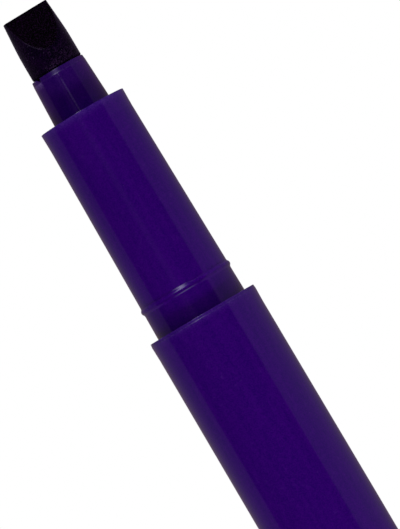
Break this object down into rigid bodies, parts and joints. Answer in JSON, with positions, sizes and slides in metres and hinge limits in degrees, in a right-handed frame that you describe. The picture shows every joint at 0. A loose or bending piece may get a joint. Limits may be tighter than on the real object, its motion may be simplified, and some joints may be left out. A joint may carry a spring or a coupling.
{
  "type": "calligraphy pen",
  "caption": "Purple felt-tip calligraphy pen with a broad black chisel nib, a stepped grip section with a snap ring, a plain round barrel and a clip cap posted on its rear.",
  "frame": {"origin": "centre of the flat crown of the cap, which is posted on the rear of the pen and stands on the surface", "axes": "+Z along the axis of the pen, from the crown of the cap to the nib; -Y is the front, which a ground face of the nib and the clip look to; +X to the right seen from the front"},
  "size_m": [0.0122, 0.0143, 0.1595],
  "materials": {
    "barrel_plastic": "glossy moulded plastic, deep purple",
    "section_plastic": "glossy moulded plastic, deep purple",
    "nib_felt": "ground felt soaked with near-black violet ink",
    "ink_fibre": "fibre rod soaked with ink",
    "wrap_film": "thin translucent film",
    "plug_plastic": "glossy moulded plastic, deep purple",
    "cap_plastic": "glossy moulded plastic, deep purple",
    "liner_plastic": "soft natural white plastic"
  },
  "bodies": {
    "cap": {"cap_shell": "cap_plastic", "cap_liner": "liner_plastic"},
    "pen": {"barrel": "barrel_plastic", "front_section": "section_plastic", "nib": "nib_felt", "ink_core": "ink_fibre", "core_wrap": "wrap_film", "tail_plug": "plug_plastic"}
  },
  "joints": [
    {"name": "pen_slide", "type": "slide", "parent": "cap", "child": "pen", "axis": [0, 0, 1], "range_m": [0, 0.03]}
  ]
}
